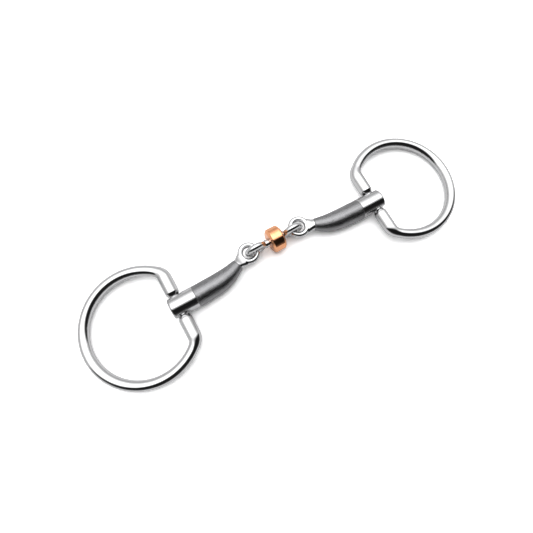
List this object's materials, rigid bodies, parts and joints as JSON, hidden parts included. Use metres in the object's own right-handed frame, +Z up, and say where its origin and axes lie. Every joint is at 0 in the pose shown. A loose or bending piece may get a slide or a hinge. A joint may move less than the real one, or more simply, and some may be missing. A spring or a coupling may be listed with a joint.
{
  "type": "snaffle bit",
  "caption": "Fixed-cheek double-jointed snaffle bit: D-like rings hinged on barrels, dark curved arms, and a middle link that carries a copper roller.",
  "frame": {"origin": "centre of the bit on the table it lies on, midway between the two cheek hinge axes", "axes": "+X along the mouthpiece from the left to the right cheek, +Y the side the mouthpiece bows towards, parallel with the hinge axes, +Z up from the table"},
  "size_m": [0.2382, 0.0666, 0.0144],
  "materials": {
    "polished_steel": "mirror polished stainless steel",
    "barrel_steel": "polished stainless steel with fine turning lines",
    "dark_satin_metal": "dark satin, fine lengthwise grain",
    "copper": "polished copper"
  },
  "bodies": {
    "link": {"left_link_eye": "polished_steel", "right_link_eye": "polished_steel", "link_spindle": "barrel_steel"},
    "roller_body": {"roller": "copper"},
    "left_arm": {"left_arm_eye": "polished_steel", "left_mouth_arm": "dark_satin_metal", "left_barrel": "barrel_steel"},
    "left_cheek": {"left_cheek_ring": "polished_steel", "left_hinge_pin": "polished_steel"},
    "right_arm": {"right_arm_eye": "polished_steel", "right_mouth_arm": "dark_satin_metal", "right_barrel": "barrel_steel"},
    "right_cheek": {"right_cheek_ring": "polished_steel", "right_hinge_pin": "polished_steel"}
  },
  "joints": [
    {"name": "roller_spin", "type": "hinge", "parent": "link", "child": "roller_body", "pos_m": [0, 0.0076, 0.0072], "axis": [1, 0, 0], "continuous": true},
    {"name": "left_arm_fold", "type": "hinge", "parent": "link", "child": "left_arm", "pos_m": [-0.01175, 0.00785, 0.00625], "axis": [0, 1, 0], "range_deg": [-95, 95]},
    {"name": "left_cheek_hinge", "type": "hinge", "parent": "left_arm", "child": "left_cheek", "pos_m": [-0.0635, 0, 0.00625], "axis": [0, -1, 0], "range_deg": [-166, 163]},
    {"name": "right_arm_fold", "type": "hinge", "parent": "link", "child": "right_arm", "pos_m": [0.01175, 0.00785, 0.00625], "axis": [0, -1, 0], "range_deg": [-95, 95]},
    {"name": "right_cheek_hinge", "type": "hinge", "parent": "right_arm", "child": "right_cheek", "pos_m": [0.0635, 0, 0.00625], "axis": [0, 1, 0], "range_deg": [-166, 163]}
  ]
}
